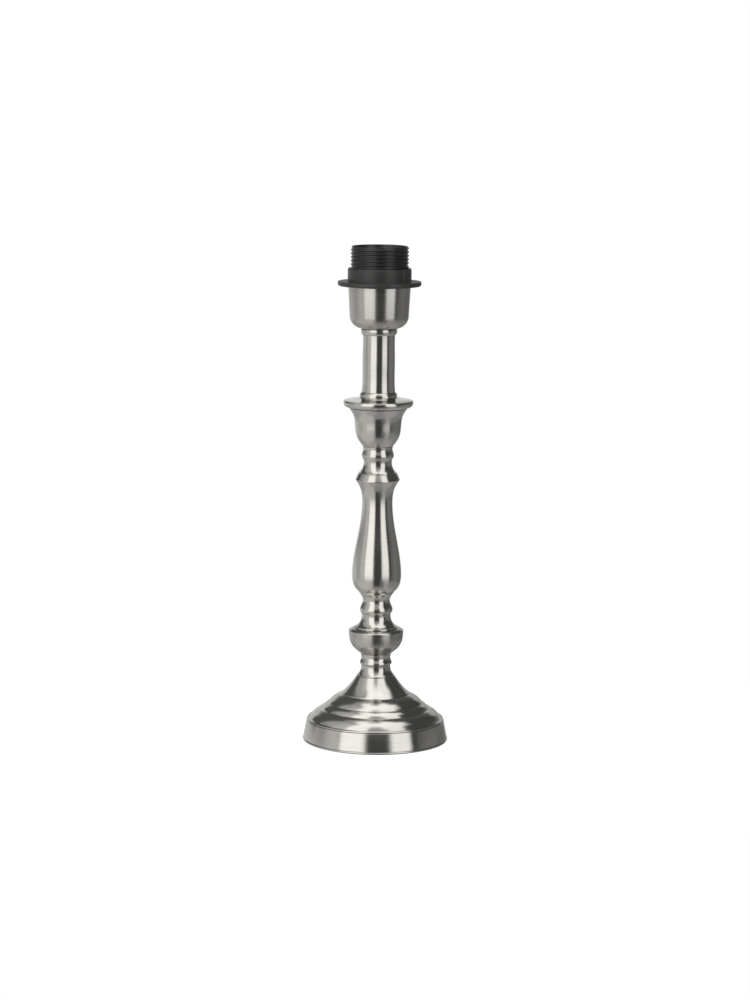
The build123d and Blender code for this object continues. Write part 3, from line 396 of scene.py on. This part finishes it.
def spool_outline(node, foot, foot_lip, waist, crease, bead, neck, top, top_lip):
    """A foot lip, a cove through the waist to a crease, then a bead that flows into a neck.
    Waist, crease, bead and neck are points; foot and top are radii, and the lips heights."""
    height = height_of(node)
    under_lip = (top, height - top_lip)
    outer = line((ROD_HOLE, 0), (foot, 0), (foot, foot_lip))
    outer += arc((foot, foot_lip), waist, crease) + flow(crease, bead, neck, under_lip)
    return outer + line(under_lip, (top, height), (ROD_HOLE, height), (ROD_HOLE, 0))


SPOOLS = {
    "base_spool": dict(foot=12.7, foot_lip=0.6, waist=(10.45, 4.7), crease=(10.4, 7.7),
                       bead=(11.2, 8.6), neck=(10.35, 11.8), top=10.75, top_lip=0.3),
    "lower_spool": dict(foot=14.7, foot_lip=1.3, waist=(10.1, 8.2), crease=(10.2, 10.4),
                        bead=(11.35, 12.9), neck=(9.4, 19.6), top=12.1, top_lip=1.1),
    "upper_spool": dict(foot=13.1, foot_lip=0.4, waist=(9.8, 6.9), crease=(10.0, 9.6),
                        bead=(11.15, 12.0), neck=(10.2, 17.0), top=10.45, top_lip=0.3)}
for spool, sizes in SPOOLS.items():
    nickel_piece(spool, spool_outline(spool, **sizes))


def knop_outline():
    """A bowl with a low shoulder, hollow inside."""
    top, foot, brim, shoulder = height_of("knop_bowl"), 10.7, 19.1, 14.3
    outer = flow((foot, 0), (17.45, 6.8), (brim, 15.8)) + line((brim, 15.8), (brim, 16.4))
    outer += swell((brim, 16.4), (shoulder, top), -0.7)
    outer += line((shoulder, top), (ROD_HOLE, top), (ROD_HOLE, top - WALL), (shoulder, top - WALL),
                  (17.4, 15.4))
    outer += flow((17.4, 15.4), (15.85, 6.8), (foot, WALL))
    return outer + line((foot, WALL), (ROD_HOLE, WALL), (ROD_HOLE, 0), (foot, 0))


nickel_piece("knop_bowl", knop_outline(), plate=spun_nickel)


def baluster_outline():
    """A full belly, a long taper, a slim waist and a sharp ridge under the top, hollow inside."""
    top = height_of("baluster")
    side = [(12.9, 0), (15.0, 2.5), (17.05, 14.4), (13.25, 39.5), (10.55, 60.9), (12.35, 73.1),
            (15.4, 78.2)]
    cavity = [(12.9, WALL)] + [(r - WALL, z) for r, z in side[1:]]
    outer = flow(*side, steps=24)
    outer += line(side[-1], (15.4, 78.5), (13.45, top), (ROD_HOLE, top), (ROD_HOLE, top - WALL),
                  (12.6, top - WALL), cavity[-1])
    outer += flow(*cavity[::-1])
    return outer + line(cavity[0], (ROD_HOLE, WALL), (ROD_HOLE, 0), side[0])


nickel_piece("baluster", baluster_outline())


def cup_outline():
    """A bell that flares into a wide rim with a shallow rebate under the pan, open upwards."""
    top, rebate = height_of("candle_cup"), 0.45
    side = [(10.3, 0), (14.1, 5.3), (15.45, 9.4), (17.2, 21.4), (20.4, top - rebate)]
    cavity = [(10.3, WALL)] + [(r - WALL, z) for r, z in side[1:-1]] + [(18.9, top)]
    outer = flow(*side) + line(side[-1], (19.7, top - rebate), (19.7, top), cavity[-1])
    outer += flow(*cavity[::-1])
    return outer + line(cavity[0], (ROD_HOLE, WALL), (ROD_HOLE, 0), side[0])


nickel_piece("candle_cup", cup_outline())


def pan_outline():
    """A plate whose edge is round below and upright above, relieved inside the cup's rim."""
    top, underside, rest, relief = height_of("drip_pan"), 3.4, 21.0, 19.0
    outer = arc((rest, 0), (24.15, 2.75), (23.75, top))
    return outer + line((23.75, top), (ROD_HOLE, top), (ROD_HOLE, underside), (relief, underside),
                        (relief, 0), (rest, 0))


nickel_piece("drip_pan", pan_outline())

SPIGOT, SPIGOT_LENGTH = 10.2, 4.0       # what the foot ring and the collar put into the tube


def foot_ring_outline():
    """A hub and a rounded ring, with a spigot up into the tube."""
    top, hub, hub_height = height_of("tube_foot_ring"), 11.9, 0.9
    seat = top - SPIGOT_LENGTH
    outer = line((ROD_HOLE, 0), (hub, 0), (hub, hub_height), (12.3, hub_height))
    outer += arc((12.3, hub_height), (12.95, 3.2), (11.8, seat))
    return outer + line((11.8, seat), (SPIGOT, seat), (SPIGOT, top), (ROD_HOLE, top), (ROD_HOLE, 0))


nickel_piece("tube_foot_ring", foot_ring_outline())


def tube_outline():
    """A straight tube that opens a little at its foot."""
    top, bore = height_of("candle_tube"), 10.3
    side = [(11.55, 0), (11.2, 5.5), (11.2, top / 2), (11.02, 35.5), (11.1, top)]
    return flow(*side) + line(side[-1], (bore, top), (bore, 0), side[0])


nickel_piece("candle_tube", tube_outline(), edge=0.12)


def collar_outline():
    """A rounded collar on the tube, with a spigot down into it."""
    top, seat = height_of("tube_collar"), SPIGOT_LENGTH
    outer = line((ROD_HOLE, 0), (SPIGOT, 0), (SPIGOT, seat), (11.75, seat))
    outer += arc((11.75, seat), (12.5, seat + 2.2), (12.2, top))
    return outer + line((12.2, top), (ROD_HOLE, top), (ROD_HOLE, 0))


nickel_piece("tube_collar", collar_outline())


def holder_cup_outline():
    """A spun cup: a flat floor, a round corner and a side that widens to a plain rim."""
    top, wall, corner, side, rim = height_of("holder_cup"), 0.8, 8.7, 20.4, 21.5
    floor_end = side - corner
    bow = corner * (1 - math.sqrt(0.5))     # how far the round corner's middle is from each side
    outer = line((ROD_HOLE, 0), (floor_end, 0))
    outer += arc((floor_end, 0), (side - bow, bow), (side, corner))
    outer += line((side, corner), (rim, top), (rim - wall, top), (side - wall, corner))
    outer += arc((side - wall, corner), (side - bow - wall / 2, bow + wall / 2), (floor_end, wall))
    return outer + line((floor_end, wall), (ROD_HOLE, wall), (ROD_HOLE, 0))


nickel_piece("holder_cup", holder_cup_outline(), edge=0.1, plate=spun_nickel)

# ------------------------------------------------------------------ black lampholder
SLEEVE_ROOT, SLEEVE_BORE = 19.25, 17.2
THREAD_PITCH, THREAD_DEPTH = 2.5, 0.7
THREAD_START, THREAD_END = 6.0, 2.9     # the first from the foot, the second from the top down
THREAD_FADE = 1 / 8                     # part of a turn over which the ridge rises at either end
RIDGE_HALF, RIDGE_FLANK = 0.88, 0.55    # half of the ridge's foot, and a flank's share of it


def sleeve_outline():
    """The sleeve's wall: a smooth bore, a ledge over the carrier and a mouth that opens."""
    top, ledge, ledge_bore, ledge_height = height_of("threaded_sleeve"), 31.5, 16.2, 1.6
    mouth = top - 0.35
    outer = [np.linspace((SLEEVE_ROOT, 0), (SLEEVE_ROOT, mouth), 280)]
    outer += arc((SLEEVE_ROOT, mouth), (18.88, top), (18.5, mouth))
    return outer + line((18.5, mouth), (ledge_bore, ledge + ledge_height), (ledge_bore, ledge),
                        (SLEEVE_BORE, ledge), (SLEEVE_BORE, 0), (SLEEVE_ROOT, 0))


def thread_reach(radius, height, angle):
    """A right-handed thread: the ridge's height is a flat-topped wave of the height over the
    pitch less the angle over a full turn, and it rises and dies out over a part of a turn."""
    phase = (height - THREAD_START) / THREAD_PITCH - angle / (2 * math.pi)
    off_middle = np.abs((phase + 0.5) % 1.0 - 0.5) * THREAD_PITCH
    ridge = np.clip((RIDGE_HALF - off_middle) / RIDGE_FLANK, 0, 1)
    ridge = ridge * ridge * (3 - 2 * ridge)
    turns = (height_of("threaded_sleeve") - THREAD_START - THREAD_END) / THREAD_PITCH
    whole = np.clip(np.minimum(phase + 0.5, turns - phase + 0.5) / THREAD_FADE, 0, 1)
    outside = np.abs(radius - SLEEVE_ROOT) < 1e-6
    return np.where(outside, radius + THREAD_DEPTH * ridge * whole, radius)


sleeve = turned("threaded_sleeve_black", closed_outline(sleeve_outline(), 0.1), black,
                foot_of("threaded_sleeve"), around=288, reach=thread_reach)
dress(sleeve, STAND, "threaded_sleeve")

RING_BORE, FLANGE, FLANGE_REACH = 20.1, 3.1, 28.7   # bore and reach are radii, flange a thickness
GRIP, RECESS = 21.9, 21.3                           # radius of the collar and of its panels
RING_TURN = math.radians(5.5)                       # how far its panels stand off the front
HALF_RECESS = math.radians(44)
RECESS_FLANK = math.radians(1.2)


def ring_outline():
    """A flange with rounded edges and a collar, round a smooth bore."""
    top = height_of("shade_ring")
    under_edge, over_edge = (FLANGE_REACH, 1.2), (FLANGE_REACH, FLANGE - 0.35)
    outer = line((RING_BORE, 0), (27.5, 0)) + arc((27.5, 0), (28.35, 0.35), under_edge)
    outer += line(under_edge, over_edge)
    outer += arc(over_edge, (FLANGE_REACH - 0.1, FLANGE - 0.1), (FLANGE_REACH - 0.35, FLANGE))
    outer += line((FLANGE_REACH - 0.35, FLANGE), (GRIP, FLANGE))
    outer += [np.linspace((GRIP, FLANGE), (GRIP, top - 1), 12)]
    outer += arc((GRIP, top - 1), (GRIP - 0.3, top - 0.3), (GRIP - 1, top))
    return outer + line((GRIP - 1, top), (RING_BORE, top), (RING_BORE, 0))


def grip_reach(radius, height, angle):
    """Two recessed panels, front and rear: the collar's outer side is drawn in where the angle
    is within half a panel of straight ahead or straight back, with short steep flanks."""
    away = np.abs((angle - RING_TURN + math.pi) % math.pi - math.pi / 2)
    panel = np.clip((HALF_RECESS - away) / RECESS_FLANK + 0.5, 0, 1)
    collar = np.clip((radius - RING_BORE) / (GRIP - RING_BORE), 0, 1) * (radius < GRIP + 0.3)
    return radius - (GRIP - RECESS) * panel * collar * (height > FLANGE - 0.4)


ring = turned("shade_ring_black", closed_outline(ring_outline(), 0.15), ring_black,
              foot_of("shade_ring"), around=480, reach=grip_reach)
dress(ring, "shade_ring", "shade_ring")


# ------------------------------------------------------------------ brass screw shell
SHELL_INNER, SHELL_OUTER = 13.3, 13.7       # radii of its plain ends
SHELL_WALL = SHELL_OUTER - SHELL_INNER
ROLL_PITCH, ROLL_MIDDLE, ROLL_WAVE = 3.629, 12.95, 0.55     # the lamp's own thread


def shell_outline():
    """A floor with a round hole, and a thin wall straight up from it."""
    top, hole = height_of("screw_shell"), 8.6
    outer = line((hole, 0), (hole, 0.4), (SHELL_INNER, 0.5))
    outer += [np.linspace((SHELL_INNER, 0.5), (SHELL_INNER, top - 0.1), 150)]
    outer += line((SHELL_INNER, top - 0.1), (SHELL_OUTER, top - 0.1))
    outer += [np.linspace((SHELL_OUTER, top - 0.1), (SHELL_OUTER, 0.2), 150)]
    return outer + line((SHELL_OUTER, 0.2), (hole, 0))


def rolled_reach(radius, height, angle):
    """A rolled thread: both sides of the wall follow a round wave, whose radius changes with
    the cosine of the height over the pitch less the angle, and which dies out at both ends."""
    top = height_of("screw_shell")
    middle = ROLL_MIDDLE - ROLL_WAVE * np.cos(2 * math.pi * height / ROLL_PITCH - angle)
    grown = np.clip((height - 2.5) / 2.0, 0, 1)         # from 2.5 to 4.5 above the foot
    left = np.clip((top - 0.6 - height) / 1.2, 0, 1)    # from 1.8 to 0.6 below the top
    inside = radius < (SHELL_INNER + SHELL_OUTER) / 2
    target = np.where(inside, middle - SHELL_WALL / 2, middle + SHELL_WALL / 2)
    on_wall = radius > SHELL_INNER - 0.3
    return np.where(on_wall, radius + (target - radius) * (grown * left), radius)


shell = turned("screw_shell_brass", closed_outline(shell_outline(), 0.08), brass,
               foot_of("screw_shell"), around=180, reach=rolled_reach)
dress(shell, STAND, "screw_shell")


# ------------------------------------------------------------------ felt pad
def pad_outline():
    """A disc cut from felt, whose cut edge bulges a little under the lamp's weight."""
    low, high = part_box("base_pad")
    top, radius, centre = (high.z - low.z) / MM, (high.x - low.x) / 2 / MM, 0.02
    cut = radius - 0.7
    outer = line((centre, top), (centre, 0)) + [np.linspace((centre, 0), (cut, 0), 60)]
    outer += arc((cut, 0), (radius - 0.05, top / 2), (cut, top))
    return outer + [np.linspace((cut, top), (centre, top), 12)]


pad = turned("base_pad_felt", closed_outline(pad_outline(), 0.01), felt, foot_of("base_pad"),
             around=240)
dress(pad, STAND, "base_pad")

# ------------------------------------------------------------------ nodes that keep their mesh
FINISH = {"base_weight": iron, "cord_grommet": nylon, "rod_bush": nylon, "holder_cap": black,
          "contact_carrier": black, "threaded_rod": zinc, "rod_nuts": zinc, "base_washer": zinc,
          "base_lock_washer": zinc, "cup_washer": zinc, "cap_set_screw": zinc,
          "terminal_screws": zinc, "terminals": brass, "contact_rivets": brass,
          "contact_root": brass, "centre_contact": brass}
for node_name, finish in FINISH.items():
    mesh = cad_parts[node_name].data
    mesh.materials.clear()
    mesh.materials.append(finish)

# ------------------------------------------------------------------ table top
TABLE_RADIUS, TABLE_CENTRE = 340.0, 1.0     # the disc has a small hole under the lamp
TABLE_GLOW = 0.75                           # makes the table white to the camera alone


def table_material():
    """Plain white table: it takes the lamp's soft shadow and looks white to the camera."""
    haze = 33.3
    material, tree, shader, place = new_material("white_table")
    cloud = add(tree, "ShaderNodeTexNoise", {"Vector": place, "Scale": 1 / (haze * MM)}
                ).outputs["Fac"]
    tint = add(tree, "ShaderNodeMix", {"Factor": cloud, "A": colour("#E9E9E8"),
                                       "B": colour("#ECECEB")}, data_type="RGBA").outputs["Result"]
    path = add(tree, "ShaderNodeLightPath", {})
    glow = add(tree, "ShaderNodeMath", {0: path.outputs["Is Camera Ray"], 1: TABLE_GLOW},
               operation="MULTIPLY").outputs[0]
    feed(tree, shader, {"Base Color": tint, "Emission Strength": glow,
                        "Emission Color": (1, 1, 1, 1), "Roughness": 0.9,
                        "Specular IOR Level": 0.0})
    return material


def table_points():
    """A flat disc: the radius times the angle's cosine and sine, at nought height."""
    angle = np.linspace(0, 2 * math.pi, 128, endpoint=False)[None, :]
    radius = np.array([TABLE_RADIUS, TABLE_CENTRE])[:, None]
    return np.stack([radius * np.cos(angle), radius * np.sin(angle), 0 * radius * angle], axis=-1)


table = grid_mesh("table_top", table_points(), table_material(), along=False)
table.visible_glossy = False     # what the metal mirrors below it is the studio's own floor

# ------------------------------------------------------------------ studio
# What stands round the lamp: each thing has a name, the compass angles where it starts and
# ends, the same for its height over the horizon, its light level and how soft its sides and
# its top and bottom are. Angles are in degrees; 0 is straight in front, where the camera is,
# and positive angles are to the right. Later things stand in front of earlier ones.
ROOM_LEVEL = 0.1
BLUE_SHARE = 0.985      # every light has a little less blue than red and green
SURROUNDINGS = [
    ("pale wall behind the lamp", -200, 200, -95, 22, 0.62, 1, 12),
    ("shaded part of that wall", 130, 200, -14, 18, 0.42, 12, 12),
    ("white sheet behind the lamp, its right half", 172, 200, -20, 6, 1, 4, 4),
    ("white sheet behind the lamp, its left half", -200, -172, -20, 6, 1, 4, 4),
    ("floor", -200, 200, -95, -17, 0.42, 1, 12),
    ("lit floor at the left", -112, -24, -62, -13, 0.6, 26, 16),
    ("floor near the right wall", 62, 176, -44, -15, 0.28, 20, 22),
    ("floor under the lamp", -30, 52, -95, -48, 0.32, 20, 16),
    ("open door at the left", -146, -114, 0, 32, 0.1, 8, 10),
    ("grey wall at the left", -113, -55, -15, 67, 0.45, 8, 8),
    ("shadow beside the door", -110, -94, 5, 24, 0.26, 8, 10),
    ("wall over the door", -170, -95, 60, 72, 0.4, 12, 8),
    ("grey wall beside the panel", -84, -55, -15, 62, 0.62, 20, 12),
    ("dark wall at the right", 60, 150, -18, 58, 0.07, 4, 8),
    ("foot of the dark wall", 74, 156, -18, 10, 0.17, 10, 10),
    ("pale box at its foot", 88, 116, -14, 5, 0.21, 8, 6),
    ("white ceiling", -200, 200, 71, 95, 1.35, 1, 8),
    ("white ceiling at the right", -58, 116, 61, 95, 1.4, 10, 6),
    ("edge of the ceiling at the right", 50, 94, 52, 72, 1.2, 14, 8),
    ("panel over the camera", -60, 66, 44, 90, 1.4, 6, 16),
    ("left panel", -58, -15, -12, 66, 1.33, 5, 8),
    ("right panel", 25, 60, -9, 66, 1.2, 5, 8),
    ("top of the camera's stand", -13, 17, 38, 63, 0.52, 9, 9),
    ("camera", -13, 22, 22, 44, 0.36, 12, 12),
    ("room behind the camera", -16, 25, -45, 22, 0.06, 11, 14),
    ("shade on the floor at its right", 16, 37, -46, -17, 0.17, 12, 12),
]


def light_of(level):
    """The colour of a light level: its red and green, and a slightly lower blue."""
    return level, level, level * BLUE_SHARE, 1


def studio():
    """The world: its light depends on the direction alone, and the camera sees white. Each
    thing's mask is the product of four soft steps, one at each limit of its two angles."""
    world = bpy.data.worlds.new("studio")
    bpy.context.scene.world = world
    world.use_nodes = True
    tree = world.node_tree
    tree.nodes.clear()
    direction = add(tree, "ShaderNodeTexCoord", {}).outputs["Generated"]
    way = add(tree, "ShaderNodeSeparateXYZ", {0: direction})
    ahead = add(tree, "ShaderNodeMath", {0: way.outputs["Y"], 1: -1.0}, operation="MULTIPLY")
    compass = add(tree, "ShaderNodeMath", {0: way.outputs["X"], 1: ahead.outputs[0]},
                  operation="ARCTAN2").outputs[0]
    climb = add(tree, "ShaderNodeMath", {0: way.outputs["Z"]}, operation="ARCSINE").outputs[0]
    light = light_of(ROOM_LEVEL)
    for name, west, east, low, high, level, side_soft, top_soft in SURROUNDINGS:
        mask = 1.0
        for angle, limit, softness in ((compass, west, side_soft), (compass, east, -side_soft),
                                       (climb, low, top_soft), (climb, high, -top_soft)):
            step = add(tree, "ShaderNodeMapRange",
                       {"Value": angle, "From Min": math.radians(limit - softness / 2),
                        "From Max": math.radians(limit + softness / 2)},
                       interpolation_type="SMOOTHSTEP").outputs["Result"]
            mask = add(tree, "ShaderNodeMath", {0: mask, 1: step}, operation="MULTIPLY").outputs[0]
        light = add(tree, "ShaderNodeMix", {"Factor": mask, "A": light, "B": light_of(level)},
                    data_type="RGBA", label=name).outputs["Result"]
    seen = add(tree, "ShaderNodeLightPath", {}).outputs["Is Camera Ray"]
    shown = add(tree, "ShaderNodeMix", {"Factor": seen, "A": light, "B": (1, 1, 1, 1)},
                data_type="RGBA").outputs["Result"]
    sky = add(tree, "ShaderNodeBackground", {"Color": shown, "Strength": 1.0})
    add(tree, "ShaderNodeOutputWorld", {"Surface": sky.outputs[0]})


studio()

# ------------------------------------------------------------------ camera
# It stands in front of the lamp and a little above it, and looks down by the pitch. The roll is
# its small turn about its own line of sight. Places are in metres and angles in degrees.
CAMERA_DISTANCE, CAMERA_HEIGHT = 2.0, 0.475
CAMERA_PITCH, CAMERA_ROLL = 8.687, 0.58
PICTURE_HEIGHT = 1000           # in pixels, as the next two are
FOCAL_LENGTH = 2916.4
LAMP_OFFSET = 2.4               # the lamp's axis is this far right of the picture's middle
SENSOR_HEIGHT = 36.0
camera_data = bpy.data.cameras.new("camera")
camera_data.sensor_fit = "VERTICAL"
camera_data.sensor_height = SENSOR_HEIGHT
camera_data.lens = FOCAL_LENGTH / PICTURE_HEIGHT * SENSOR_HEIGHT
camera_data.clip_start = 0.05
camera = bpy.data.objects.new("camera", camera_data)
bpy.context.scene.collection.objects.link(camera)
camera.matrix_world = (Matrix.Translation((0, -CAMERA_DISTANCE, CAMERA_HEIGHT))
                       @ Matrix.Rotation(math.atan(LAMP_OFFSET / FOCAL_LENGTH), 4, "Z")
                       @ Matrix.Rotation(math.radians(90 - CAMERA_PITCH), 4, "X")
                       @ Matrix.Rotation(math.radians(CAMERA_ROLL), 4, "Z"))
bpy.context.scene.camera = camera
bpy.context.scene.view_settings.view_transform = "Standard"
